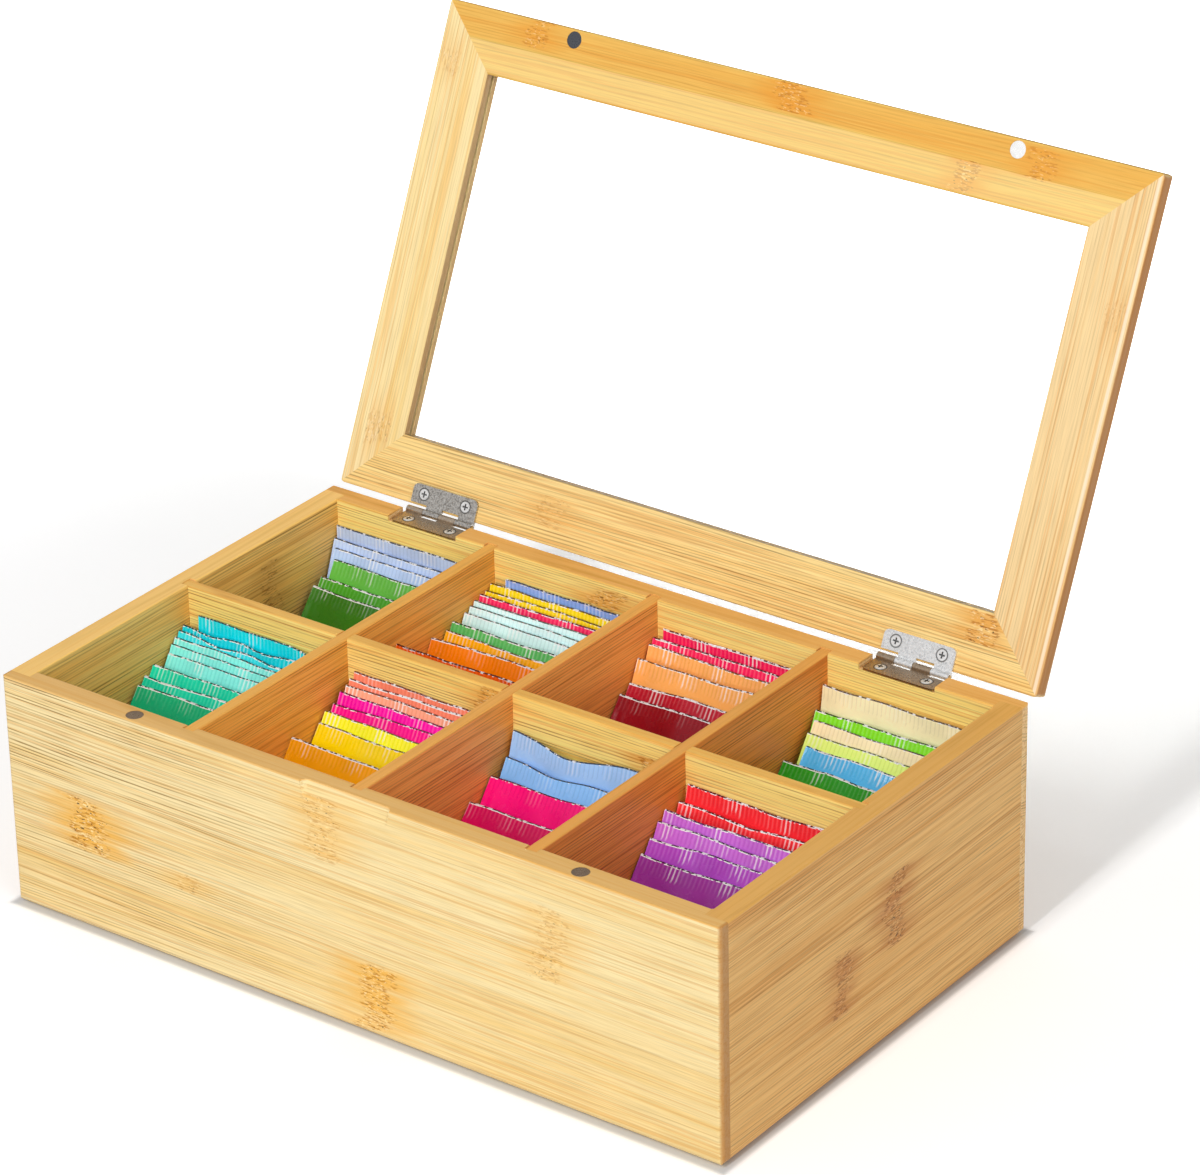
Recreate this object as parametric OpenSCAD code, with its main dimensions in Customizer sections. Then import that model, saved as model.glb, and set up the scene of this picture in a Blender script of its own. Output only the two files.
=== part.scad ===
// Bamboo tea box: eight compartments of foil sachets under a hinged lid with a clear window.
// Millimetres. X runs along the box, +Y to the hinges, +Z up. The origin is the middle of the underside.
// The lid stands open, as it rests on its hinge stop; its parts are drawn closed and then turned open.

/* [Box] */
// Length of the box and the lid
box_l = 320; // [312:1:420]
// Depth of the box and the lid, front to back
box_w = 192.5; // [190:0.5:260]
// Height of the box without its lid
box_h = 95; // [92:1:150]
// Thickness of the four walls
wall_t = 9.5; // [8:0.5:14]
// Thickness of the bottom panel
bottom_t = 5; // [3:0.5:8]
// Thickness of the dividers
divider_t = 5; // [4:0.5:8]
// How far the dividers' tops stay below the rim
rim_drop = 0.3; // [0.2:0.1:2]
// Rounding of the box's upright corners
corner_r = 2; // [1:0.5:4]
// Rounding of the edges round the underside
base_r = 3.5; // [1:0.5:5]
// Easing of the rim's edges
rim_r = 0.7; // [0.4:0.1:1.5]

/* [Joinery] */
// End grain of the front and back walls that shows past the side walls
end_strip = 5; // [4:0.5:7]
// Depth of the grooves that hold the dividers' ends
dado_d = 3; // [2:0.5:5]
// How far the bottom panel reaches into the walls
bottom_lip = 3; // [2:0.5:5]
// Play in a wood joint, all told
joint_fit = 0.1; // [0.05:0.05:0.3]

/* [Thumb notch] */
// Length of the notch in the front wall's rim
notch_l = 40; // [25:1:60]
// How far the notch reaches into the rim
notch_in = 2.6; // [1.5:0.1:4]
// How far the notch runs down the front
notch_h = 6.5; // [5:0.5:14]

/* [Lid] */
// Thickness of the lid's frame
lid_t = 8.5; // [8:0.5:14]
// Width of the lid's rails
rail_w = 25; // [20:1:40]
// Gap between the closed lid and the rim
lid_gap = 0.2; // [0.1:0.1:0.4]
// Rounding of the lid's outer top edges
lid_edge_r = 3.5; // [1:0.5:4]
// Rounding of the window's top edges
sight_r = 1; // [0.5:0.5:2]
// Thickness of the window pane
pane_t = 2; // [1.5:0.5:3]
// Depth of the groove that holds the pane
pane_groove = 5; // [3:0.5:8]
// Play between the pane and its groove, on each side
pane_fit = 0.15; // [0.1:0.05:0.3]
// Angle that the lid stands open at
open_angle = 114.5; // [95:0.5:120]

/* [Hinges] */
// Distance of each hinge's middle from the box's end
hinge_end = 51; // [35:1:60]
// Length of a hinge
hinge_l = 31; // [26:1:38]
// Thickness of a hinge leaf
leaf_t = 1; // [0.8:0.1:1.1]
// Reach of the box leaf over the back wall
box_leaf_reach = 9; // [8:0.5:9]
// Reach of the lid leaf over the lid's rear rail
lid_leaf_reach = 8.5; // [8:0.5:12]
// Rounding of the lid leaf's free corners
leaf_corner_r = 2.3; // [1:0.1:3]
// Diameter of the hinge barrel
barrel_d = 2.9; // [2.7:0.1:3]
// Diameter of the hinge pin
pin_d = 1.5; // [1.2:0.1:1.7]
// Clearance round the pin
pin_fit = 0.05; // [0.02:0.01:0.1]
// Gap between two knuckles
knuckle_gap = 0.15; // [0.1:0.05:0.4]
// How far the pin stands out of the barrel at each end
pin_proud = 0.3; // [0.2:0.1:0.8]
// Depth of the leaf notch beside the other leaf's knuckles, from the pin's axis
leaf_notch = 3; // [2.6:0.1:3.6]
// How far the pin's axis stands behind the back wall
axis_back = 2; // [1.8:0.1:3]
// How far the pin's axis lies below the rim
axis_drop = 1.3; // [1.2:0.1:1.4]
// Depth of the rebate that the box leaf lies in
rebate_d = 2.6; // [2.4:0.1:2.8]
// Play at each end of the rebate
rebate_fit = 1; // [0.5:0.1:2]

/* [Screws] */
// Distance between a leaf's two screws
screw_pitch = 20; // [16:1:22]
// Distance of the screws from the lid's and the box's rear face
screw_inset = 4.8; // [4.4:0.1:5]
// Diameter of a screw head
head_d = 4.6; // [3.6:0.1:5]
// Depth of a screw head's cone
head_h = 1.2; // [1:0.1:1.6]
// Diameter of a screw's core
screw_d = 2.2; // [1.8:0.1:2.6]
// Length of the screws in the back wall
box_screw_l = 12; // [8:1:20]
// Length of the screws in the lid
lid_screw_l = 6.5; // [5:0.5:7]
// Height of the box screws' domed heads over the leaf
box_dome_h = 0.4; // [0.2:0.1:0.5]
// Play round a screw
screw_fit = 0.04; // [0.02:0.01:0.1]
// Width of the cross recess's slots
cross_w = 0.55; // [0.4:0.05:0.8]

/* [Magnets] */
// Diameter of a magnet
magnet_d = 6.5; // [5:0.5:7]
// Thickness of a magnet
magnet_h = 3; // [2:0.5:5]
// Distance of the magnets' middles from the front face
magnet_inset = 4.3; // [4.2:0.1:4.7]
// Distance of each magnet's middle from the box's end
magnet_end = 60.5; // [30:0.5:80]
// How far a magnet's face lies below the wood
magnet_sink = 0.1; // [0.05:0.05:0.5]
// Play round a magnet
magnet_fit = 0.05; // [0.02:0.01:0.1]

/* [Sachets] */
// Play of a sachet across its compartment
sachet_play = 7.5; // [4:0.5:12]
// Height of a sachet
sachet_h = 80; // [70:1:82]
// Thickness of a sachet at its crimped seams
crimp_t = 0.6; // [0.4:0.1:0.7]
// Thickness of a sachet at its middle
belly_t = 1.7; // [1.2:0.1:1.9]
// Height of a crimped seam
crimp_h = 9; // [6:1:12]
// Height that a sachet's foot keeps over the bottom panel
sachet_seat = 0.3; // [0.2:0.1:1]

/* [Hidden] */
$fn = 48;
reach = 1; // how far a cutter runs past the face it cuts

inner_l = box_l - 2 * wall_t;
inner_w = box_w - 2 * wall_t;
cell_l = (inner_l - 3 * divider_t) / 4;
cell_w = (inner_w - divider_t) / 2;
divider_h = box_h - bottom_t - rim_drop;
rabbet_d = wall_t - end_strip;
lap_z = bottom_t + divider_h / 2; // where the crossing dividers' slots meet
hinge_x = box_l / 2 - hinge_end;
magnet_x = box_l / 2 - magnet_end;
sachet_w = cell_l - sachet_play;

lid_z = box_h + lid_gap;
window_l = box_l - 2 * rail_w;
window_w = box_w - 2 * rail_w;
pane_z = lid_z + (lid_t - pane_t) / 2;

axis_y = box_w / 2 + axis_back;
axis_z = box_h - axis_drop;
box_leaf_z = axis_drop - rebate_d; // a leaf's underside, from the pin's axis
lid_leaf_z = lid_z - leaf_t - axis_z;
knuckles = 4;
knuckle_l = (hinge_l - (knuckles - 1) * knuckle_gap) / knuckles;
cross_l = head_d * 0.55;
cross_d = head_h * 0.45;

// Each sachet's place in the play across its compartment, the distances of its top edge and of its foot from
// the wall behind it, all in percent of the play and of the compartment's depth, and its colour; from the back
// of the compartment to the front.
rear_left = [
  [10, 2, 2, "#96AFE1"], [10, 4, 37, "#96AFE1"], [40, 7, 47.5, "#96AFE1"],
  [70, 11, 58.5, "#55A03C"], [40, 18, 75.5, "#55A03C"], [40, 23.5, 84, "#468C3C"]
];
rear_mid_left = [
  [90, 2, 5, "#7896D2"], [10, 4, 28.5, "#FABE14"], [10, 7.5, 38.5, "#FABE14"],
  [10, 11.5, 44, "#E12355"], [10, 16, 51.5, "#B9E6D7"], [10, 19, 58.5, "#B9E6D7"], [10, 23, 66.5, "#B9E6D7"],
  [10, 32, 76.5, "#4BA050"], [10, 37, 85.5, "#FA960F"], [10, 47, 93, "#F08C14"], [40, 75.5, 98, "#DC5F0A"]
];
rear_mid_right = [
  [50, 2, 5, "#D71950"], [10, 4, 31.5, "#D71950"], [10, 7.5, 42, "#FA9650"], [10, 15.5, 57, "#FA9650"],
  [20, 23, 78.5, "#960F28"], [10, 29, 89, "#8C0F23"]
];
rear_right = [
  [10, 4.5, 17, "#FAD7AA"], [10, 9.5, 53, "#6EBE1E"], [30, 14, 63, "#F5C396"], [30, 19, 74, "#CDE150"],
  [60, 24, 83.5, "#55A5D2"], [10, 34, 98, "#1E8214"]
];
front_left = [
  [80, 2, 5, "#0AB9CD"], [10, 5, 34.5, "#0AB9CD"], [10, 8, 43.5, "#0AB9CD"], [10, 11, 51, "#6ED7B9"],
  [10, 13.5, 58, "#6ED7B9"], [20, 17, 66.5, "#6ED7B9"], [10, 26, 78, "#0FAF7D"], [10, 32.5, 88.5, "#0FAF7D"],
  [20, 38, 97, "#0FA573"]
];
front_mid_left = [
  [60, 2, 21, "#FA735A"], [50, 4, 33, "#FA735A"], [50, 6.5, 42, "#FA735A"], [30, 9, 50.5, "#EB0096"],
  [30, 13, 60.5, "#EB0096"], [10, 17, 70, "#FAD71E"], [10, 22, 80, "#F0BE0F"], [10, 40.5, 97.5, "#E1960A"]
];
front_mid_right = [
  [20, 2, 30, "#7DA5D7"], [30, 8, 57.5, "#7DA5D7"], [10, 16.5, 75, "#E10073"], [10, 32.5, 97.5, "#B40055"]
];
front_right = [
  [30, 2, 23, "#E6191E"], [10, 6, 46, "#E6191E"], [10, 16, 54.5, "#963CA5"], [10, 20.5, 66.5, "#963CA5"],
  [10, 25.5, 79, "#963CA5"], [10, 33, 93, "#822882"]
];

// ---- outlines and cutters

// A rectangle on the X axis with its lower corners rounded to low_r and its upper ones to top_r
module profile(w, h, low_r, top_r) {
  translate([-w / 2, low_r]) square([w, h - low_r - top_r]);
  translate([-w / 2 + low_r, 0]) square([w - 2 * low_r, low_r]);
  translate([-w / 2 + top_r, h - top_r]) square([w - 2 * top_r, top_r]);
  for (side = [-1, 1]) {
    translate([side * (w / 2 - low_r), low_r]) circle(low_r);
    translate([side * (w / 2 - top_r), h - top_r]) circle(top_r);
  }
}

// A block on the XY plane with rounded upright corners, and its edges rounded below and above
module rounded_block(l, w, h, upright_r, low_r, top_r) {
  intersection() {
    translate([0, -w / 2, 0]) linear_extrude(h) profile(l, w, upright_r, upright_r);
    translate([0, w / 2, 0]) rotate([90, 0, 0]) linear_extrude(w) profile(l, h, low_r, top_r);
    translate([-l / 2, 0, 0]) rotate([90, 0, 90]) linear_extrude(l) profile(w, h, low_r, top_r);
  }
}

// What a rounding of radius r takes off an edge that runs along X, with the wood at -Y and -Z
module edge_cutter(l, r) {
  difference() {
    translate([-l / 2, -r, -r]) cube([l, r + reach, r + reach]);
    translate([-l / 2 - reach, -r, -r]) rotate([0, 90, 0]) cylinder(r = r, h = l + 2 * reach);
  }
}

module box_form() {
  rounded_block(box_l, box_w, box_h, corner_r, base_r, rim_r);
}

module lid_form() {
  translate([0, 0, lid_z]) rounded_block(box_l, box_w, lid_t, corner_r, rim_r, lid_edge_r);
}

// ---- the spaces that the dividers and the bottom panel take up, with play for their seats

module bottom_form(play = 0) {
  l = inner_l + 2 * bottom_lip + play;
  w = inner_w + 2 * bottom_lip + play;
  translate([-l / 2, -w / 2, 0]) cube([l, w, bottom_t]);
}

module divider_form(l, play = 0) {
  translate([0, (l + play) / 2, bottom_t])
    rotate([90, 0, 0])
      linear_extrude(l + play)
        if (play > 0) translate([-(divider_t + play) / 2, 0]) square([divider_t + play, divider_h + reach]);
        else profile(divider_t, divider_h, rim_r / 2, rim_r);
}

function cross_x(i) = -inner_l / 2 + (i + 1) * cell_l + (i + 0.5) * divider_t;

module cross_form(i, play = 0) {
  translate([cross_x(i), 0, 0]) divider_form(inner_w + 2 * dado_d - (play > 0 ? 0 : joint_fit), play);
}

module long_form(play = 0) {
  rotate([0, 0, 90]) divider_form(inner_l + 2 * dado_d - (play > 0 ? 0 : joint_fit), play);
}

// ---- box

// The hinge side is +1 and the front -1
module long_wall(side) {
  inner_y = side * inner_w / 2;
  difference() {
    intersection() {
      box_form();
      translate([-box_l / 2, side > 0 ? inner_y : -box_w / 2, 0]) cube([box_l, wall_t, box_h]);
    }
    for (end = [-1, 1])
      translate([end * (box_l / 2 - wall_t / 2), inner_y, box_h / 2])
        cube([wall_t, 2 * rabbet_d, box_h + 2 * reach], center = true);
    translate([0, inner_y, box_h]) rotate([0, 0, side > 0 ? 180 : 0]) edge_cutter(inner_l, rim_r);
    bottom_form(joint_fit);
    for (i = [0:2]) cross_form(i, joint_fit);
  }
}

module thumb_notch() {
  tilt = atan(notch_in / notch_h);
  round_r = notch_in;
  translate([0, -box_w / 2 + notch_in, box_h])
    rotate([-tilt, 0, 0])
      translate([0, 0, -2 * notch_h])
        linear_extrude(2 * notch_h + reach) {
          translate([-notch_l / 2 + round_r, -round_r - reach])
            square([notch_l - 2 * round_r, round_r + reach]);
          translate([-notch_l / 2, -round_r - notch_h]) square([notch_l, notch_h]);
          for (end = [-1, 1]) translate([end * (notch_l / 2 - round_r), -round_r]) circle(round_r);
        }
}

module front_wall() {
  color("#F0DCA0")
    difference() {
      long_wall(-1);
      thumb_notch();
      for (side = [-1, 1]) magnet_at(side, box_h, -1) magnet_bore();
    }
}

module back_wall() {
  color("#E6B464")
    difference() {
      long_wall(1);
      for (side = [-1, 1]) {
        translate([side * hinge_x, box_w / 2, box_h])
          cube([hinge_l + 2 * rebate_fit, 2 * wall_t + reach, 2 * rebate_d], center = true);
        hinge_at(side) box_screws_at() pilot_hole(box_screw_l);
      }
    }
}

module side_wall(side) {
  difference() {
    intersection() {
      box_form();
      translate([side > 0 ? inner_l / 2 : -box_l / 2, -box_w / 2 + end_strip, 0])
        cube([wall_t, box_w - 2 * end_strip, box_h]);
    }
    translate([side * inner_l / 2, 0, box_h]) rotate([0, 0, side * 90]) edge_cutter(inner_w, rim_r);
    bottom_form(joint_fit);
    long_form(joint_fit);
  }
}

module left_wall() {
  color("#E1BE78") side_wall(-1);
}

module right_wall() {
  color("#CDA564") side_wall(1);
}

module bottom_panel() {
  color("#D2A05A") bottom_form();
}

module long_divider() {
  color("#E6BE78")
    difference() {
      long_form();
      for (i = [0:2])
        translate([cross_x(i), 0, lap_z + box_h / 2])
          cube([divider_t + joint_fit, divider_t + reach, box_h], center = true);
    }
}

module cross_divider(i) {
  color("#D2A05A")
    difference() {
      cross_form(i);
      translate([cross_x(i), 0, lap_z + joint_fit - box_h / 2])
        cube([divider_t + reach, divider_t + joint_fit, box_h], center = true);
    }
}

module cross_divider_left() {
  cross_divider(0);
}

module cross_divider_middle() {
  cross_divider(1);
}

module cross_divider_right() {
  cross_divider(2);
}

// ---- lid

// Turns a part that is drawn closed to where the lid rests open
module opened() {
  translate([0, axis_y, axis_z])
    rotate([-open_angle, 0, 0])
      translate([0, -axis_y, -axis_z])
        children();
}

// A rail along X on the lid's front edge, as long as l, of a lid as deep as w, with mitred ends
module mitred_rail(l, w) {
  difference() {
    intersection() {
      children();
      translate([0, -w / 2, lid_z])
        linear_extrude(lid_t)
          polygon([[-l / 2, 0], [l / 2, 0], [l / 2 - rail_w, rail_w], [-l / 2 + rail_w, rail_w]]);
    }
    translate([0, -w / 2 + rail_w, lid_z + lid_t]) edge_cutter(l - 2 * rail_w + 2 * sight_r, sight_r);
  }
}

module pane_form(play = 0) {
  l = window_l + 2 * pane_groove - 2 * pane_fit + play;
  w = window_w + 2 * pane_groove - 2 * pane_fit + play;
  translate([-l / 2, -w / 2, pane_z - play / 2]) cube([l, w, pane_t + play]);
}

module front_or_rear_rail(side) {
  difference() {
    rotate([0, 0, side > 0 ? 180 : 0]) mitred_rail(box_l, box_w) lid_form();
    pane_form(2 * pane_fit);
  }
}

module side_rail(side) {
  difference() {
    rotate([0, 0, side * 90]) mitred_rail(box_w, box_l) rotate([0, 0, -side * 90]) lid_form();
    pane_form(2 * pane_fit);
  }
}

module lid_front_rail() {
  color("#E6BE78")
    opened()
      difference() {
        front_or_rear_rail(-1);
        for (side = [-1, 1]) magnet_at(side, lid_z, 1) magnet_bore();
      }
}

module lid_rear_rail() {
  color("#E6B464")
    opened()
      difference() {
        front_or_rear_rail(1);
        for (side = [-1, 1]) hinge_at(side) lid_screws_at() pilot_hole(lid_screw_l);
      }
}

module lid_left_rail() {
  color("#F0D291") opened() side_rail(-1);
}

module lid_right_rail() {
  color("#EBC88C") opened() side_rail(1);
}

module lid_window() {
  color([0.9, 0.95, 0.97, 0.3]) opened() pane_form();
}

// ---- hinges

// The origin goes to the middle of a hinge's pin
module hinge_at(side) {
  translate([side * hinge_x, axis_y, axis_z]) children();
}

function knuckle_x(k) = -hinge_l / 2 + k * (knuckle_l + knuckle_gap);

module knuckle(k) {
  translate([knuckle_x(k), 0, 0]) rotate([0, 90, 0]) cylinder(d = barrel_d, h = knuckle_l);
}

module leaf_plan(depth, corner) {
  translate([-hinge_l / 2, -depth + corner]) square([hinge_l, depth - corner]);
  translate([-hinge_l / 2 + corner, -depth]) square([hinge_l - 2 * corner, corner]);
  for (end = [-1, 1]) translate([end * (hinge_l / 2 - corner), -depth + corner]) circle(corner);
}

// A leaf with its own knuckles at first and first + 2, notched beside the other leaf's
module leaf(depth, corner, low_z, first) {
  difference() {
    union() {
      difference() {
        translate([0, 0, low_z]) linear_extrude(leaf_t) leaf_plan(depth, corner);
        for (k = [1 - first, 3 - first])
          translate([knuckle_x(k) - knuckle_gap, -leaf_notch, low_z - reach])
            cube([knuckle_l + 2 * knuckle_gap, leaf_notch + reach, leaf_t + 2 * reach]);
      }
      for (k = [first, first + 2]) knuckle(k);
    }
    translate([-hinge_l, 0, 0]) rotate([0, 90, 0]) cylinder(d = pin_d + 2 * pin_fit, h = 2 * hinge_l);
  }
}

// The box leaf's screws go down into the back wall; the origin goes to the top of the leaf
module box_screws_at() {
  for (end = [-1, 1])
    translate([end * screw_pitch / 2, -axis_back - screw_inset, box_leaf_z + leaf_t]) children();
}

// The lid leaf's screws go up into the rear rail; the origin goes to the underside of the leaf
module lid_screws_at() {
  for (end = [-1, 1])
    translate([end * screw_pitch / 2, -axis_back - screw_inset, lid_leaf_z]) rotate([180, 0, 0]) children();
}

module box_leaf(side) {
  color("#A5A5A8")
    hinge_at(side)
      difference() {
        leaf(axis_back + box_leaf_reach, leaf_corner_r / 2, box_leaf_z, 0);
        box_screws_at() screw_form(box_screw_l, 0, screw_fit);
      }
}

module lid_leaf(side) {
  color("#B9B9BC")
    opened()
      hinge_at(side)
        difference() {
          leaf(axis_back + lid_leaf_reach, leaf_corner_r, lid_leaf_z, 1);
          lid_screws_at() screw_form(lid_screw_l, 0, screw_fit);
        }
}

module pin(side) {
  l = hinge_l + 2 * pin_proud;
  color("#C8A564") hinge_at(side) translate([-l / 2, 0, 0]) rotate([0, 90, 0]) cylinder(d = pin_d, h = l);
}

module hinge_left_box_leaf() {
  box_leaf(-1);
}

module hinge_left_lid_leaf() {
  lid_leaf(-1);
}

module hinge_left_pin() {
  pin(-1);
}

module hinge_right_box_leaf() {
  box_leaf(1);
}

module hinge_right_lid_leaf() {
  lid_leaf(1);
}

module hinge_right_pin() {
  pin(1);
}

// ---- screws

// A countersunk screw that points down, with its head's rim at the origin's height
module screw_form(l, dome, play) {
  head_r = head_d / 2 + play;
  core_r = screw_d / 2 + play;
  dome_r = head_r * 0.6;
  rotate_extrude()
    polygon([
      [0, -l - play], [core_r, -l + screw_d], [core_r, -head_h - play], [head_r, 0],
      [dome_r, dome], [0, dome]
    ]);
}

module pilot_hole(l) {
  translate([0, 0, -l - screw_fit]) cylinder(d = screw_d + 2 * screw_fit, h = l + reach);
  screw_form(l, 0, screw_fit);
}

module screw(l, dome) {
  difference() {
    screw_form(l, dome, 0);
    for (turn = [0, 90])
      rotate([0, 0, turn]) translate([0, 0, dome]) cube([cross_l, cross_w, 2 * cross_d], center = true);
  }
}

module box_hinge_screws() {
  color("#B4B4B4") for (side = [-1, 1]) hinge_at(side) box_screws_at() screw(box_screw_l, box_dome_h);
}

module lid_hinge_screws() {
  color("#C8C8C8")
    opened()
      for (side = [-1, 1]) hinge_at(side) lid_screws_at() screw(lid_screw_l, 0);
}

// ---- magnets

// The origin goes to the middle of a magnet's bore in the face at height z; up is -1 where the bore goes down
module magnet_at(side, z, up) {
  translate([side * magnet_x, -box_w / 2 + magnet_inset, z]) rotate([up > 0 ? 0 : 180, 0, 0]) children();
}

module magnet_bore() {
  depth = magnet_sink + magnet_h;
  translate([0, 0, -reach]) cylinder(d = magnet_d + 2 * magnet_fit, h = depth + reach);
}

module magnet() {
  translate([0, 0, magnet_sink]) cylinder(d = magnet_d, h = magnet_h);
}

module box_magnets() {
  color("#46464B") for (side = [-1, 1]) magnet_at(side, box_h, -1) magnet();
}

module lid_magnets() {
  color("#D2D2D7") opened() for (side = [-1, 1]) magnet_at(side, lid_z, 1) magnet();
}

// ---- sachets

// Height along a sachet and half of its thickness there, from the foot to the top
function sachet_stations() = [
  [0, crimp_t / 2], [crimp_h, crimp_t / 2], [sachet_h * 0.35, belly_t / 2],
  [sachet_h * 0.6, belly_t / 2], [sachet_h - crimp_h, crimp_t / 2], [sachet_h, crimp_t / 2]
];

module sachet_outline() {
  up = sachet_stations();
  last = len(up) - 1;
  polygon([
    for (s = up) [-s[1], s[0]],
    for (i = [last:-1:0]) [up[i][1], up[i][0]]
  ]);
}

// Stands a row in the compartment that is the column-th from the left, in front of the wall at back_y
module sachet_row(row, column, back_y) {
  left_x = -inner_l / 2 + column * (cell_l + divider_t);
  for (s = row) {
    side = s[0] / 100 * sachet_play;
    foot = s[2] / 100 * cell_w;
    lean = asin((s[2] - s[1]) / 100 * cell_w / sachet_h);
    foot_z = bottom_t + sachet_seat + crimp_t / 2 * sin(lean);
    color(s[3])
      translate([left_x + side, back_y - foot, foot_z])
        rotate([-lean, 0, 0])
          rotate([90, 0, 90])
            linear_extrude(sachet_w)
              sachet_outline();
  }
}

module rear_row(row, column) {
  sachet_row(row, column, inner_w / 2);
}

module front_row(row, column) {
  sachet_row(row, column, -divider_t / 2);
}

module sachets_rear_left() {
  rear_row(rear_left, 0);
}

module sachets_rear_mid_left() {
  rear_row(rear_mid_left, 1);
}

module sachets_rear_mid_right() {
  rear_row(rear_mid_right, 2);
}

module sachets_rear_right() {
  rear_row(rear_right, 3);
}

module sachets_front_left() {
  front_row(front_left, 0);
}

module sachets_front_mid_left() {
  front_row(front_mid_left, 1);
}

module sachets_front_mid_right() {
  front_row(front_mid_right, 2);
}

module sachets_front_right() {
  front_row(front_right, 3);
}

front_wall();
back_wall();
left_wall();
right_wall();
bottom_panel();
long_divider();
cross_divider_left();
cross_divider_middle();
cross_divider_right();
lid_front_rail();
lid_rear_rail();
lid_left_rail();
lid_right_rail();
lid_window();
hinge_left_box_leaf();
hinge_left_lid_leaf();
hinge_left_pin();
hinge_right_box_leaf();
hinge_right_lid_leaf();
hinge_right_pin();
box_hinge_screws();
lid_hinge_screws();
box_magnets();
lid_magnets();
sachets_rear_left();
sachets_rear_mid_left();
sachets_rear_mid_right();
sachets_rear_right();
sachets_front_left();
sachets_front_mid_left();
sachets_front_mid_right();
sachets_front_right();
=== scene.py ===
import math
import bpy
import numpy as np
from mathutils import Matrix, Vector


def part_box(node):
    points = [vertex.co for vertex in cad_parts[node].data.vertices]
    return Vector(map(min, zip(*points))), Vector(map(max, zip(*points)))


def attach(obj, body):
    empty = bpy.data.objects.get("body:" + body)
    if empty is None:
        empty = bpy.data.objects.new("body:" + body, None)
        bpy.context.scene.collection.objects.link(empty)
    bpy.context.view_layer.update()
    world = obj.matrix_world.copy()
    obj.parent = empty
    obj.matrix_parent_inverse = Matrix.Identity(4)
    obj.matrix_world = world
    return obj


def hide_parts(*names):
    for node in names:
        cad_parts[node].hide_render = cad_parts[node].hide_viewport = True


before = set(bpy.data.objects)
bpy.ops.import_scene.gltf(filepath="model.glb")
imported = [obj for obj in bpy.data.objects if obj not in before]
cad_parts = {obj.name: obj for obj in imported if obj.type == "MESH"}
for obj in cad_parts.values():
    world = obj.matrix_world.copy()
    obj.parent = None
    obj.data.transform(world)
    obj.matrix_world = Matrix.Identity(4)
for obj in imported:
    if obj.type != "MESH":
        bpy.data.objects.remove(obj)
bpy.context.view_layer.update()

print("frame loaded:", len(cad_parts), "CAD nodes")
bpy.ops.object.select_all(action="DESELECT")


# Colours, nodes and materials: short names for what is done often.
def tint(code, gain=1.0):
    # six hex digits as seen on screen, to Blender's linear colour
    parts = [int(code[i:i + 2], 16) / 255 for i in (0, 2, 4)]
    linear = [c / 12.92 if c <= 0.04045 else ((c + 0.055) / 1.055) ** 2.4 for c in parts]
    return tuple(gain * c for c in linear) + (1.0,)


def put(tree, kind, wired=None, **settings):
    # one node, its settings, then its inputs: a socket is linked, anything else is written in
    node = tree.nodes.new(kind)
    for key, value in settings.items():
        setattr(node, key, value)
    for key, value in (wired or {}).items():
        if isinstance(value, bpy.types.NodeSocket):
            tree.links.new(value, node.inputs[key])
        else:
            node.inputs[key].default_value = value
    return node


def maths(tree, operation, a, b=0.0, clamp=False):
    return put(tree, "ShaderNodeMath", {0: a, 1: b}, operation=operation, use_clamp=clamp).outputs[0]


def plus(tree, a, b, clamp=False):
    return maths(tree, "ADD", a, b, clamp)


def minus(tree, a, b):
    return maths(tree, "SUBTRACT", a, b)


def times(tree, a, b, clamp=False):
    return maths(tree, "MULTIPLY", a, b, clamp)


def absolute(tree, a):
    return maths(tree, "ABSOLUTE", a)


def fromMiddle(tree, count):
    # how far a running count is from the middle of its step, 0 to 0.5
    return absolute(tree, minus(tree, maths(tree, "FRACT", count), 0.5))


def vectorMaths(tree, operation, a, b=(0, 0, 0), output="Vector"):
    return put(tree, "ShaderNodeVectorMath", {0: a, 1: b}, operation=operation).outputs[output]


def apart(tree, vector):
    # the three numbers of a vector
    return put(tree, "ShaderNodeSeparateXYZ", {0: vector}).outputs


def together(tree, x, y, z):
    return put(tree, "ShaderNodeCombineXYZ", {0: x, 1: y, 2: z}).outputs[0]


def grey(tree, value):
    return together(tree, value, value, value)


def objectPlace(tree):
    return put(tree, "ShaderNodeTexCoord").outputs["Object"]


def ramp(tree, value, low, high, toLow=0.0, toHigh=1.0):
    wired = {"Value": value, "From Min": low, "From Max": high, "To Min": toLow, "To Max": toHigh}
    return put(tree, "ShaderNodeMapRange", wired, interpolation_type="SMOOTHSTEP").outputs["Result"]


def blendColour(tree, amount, a, b, mode="MIX"):
    return put(tree, "ShaderNodeMix", {0: amount, 6: a, 7: b}, data_type="RGBA", blend_type=mode).outputs[2]


def noise(tree, vector, scale, detail=2.0, rough=0.5):
    wired = {"Vector": vector, "Scale": scale, "Detail": detail, "Roughness": rough}
    return put(tree, "ShaderNodeTexNoise", wired).outputs["Fac"]


def stretched(tree, vector, along, across, seed):
    # scales a grain vector along and across the fibres, and moves it by the seed
    scaled = vectorMaths(tree, "MULTIPLY", vector, (along, across, across))
    shift = together(tree, seed, times(tree, seed, 1.7), times(tree, seed, 2.3))
    return vectorMaths(tree, "ADD", scaled, shift)


def fibreNoise(tree, vector, counts, seed, detail=1.0, rough=0.5):
    # noise drawn out along the fibres; counts are repeats per metre along and across them
    return noise(tree, stretched(tree, vector, counts[0], counts[1], seed), 1.0, detail, rough)


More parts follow.
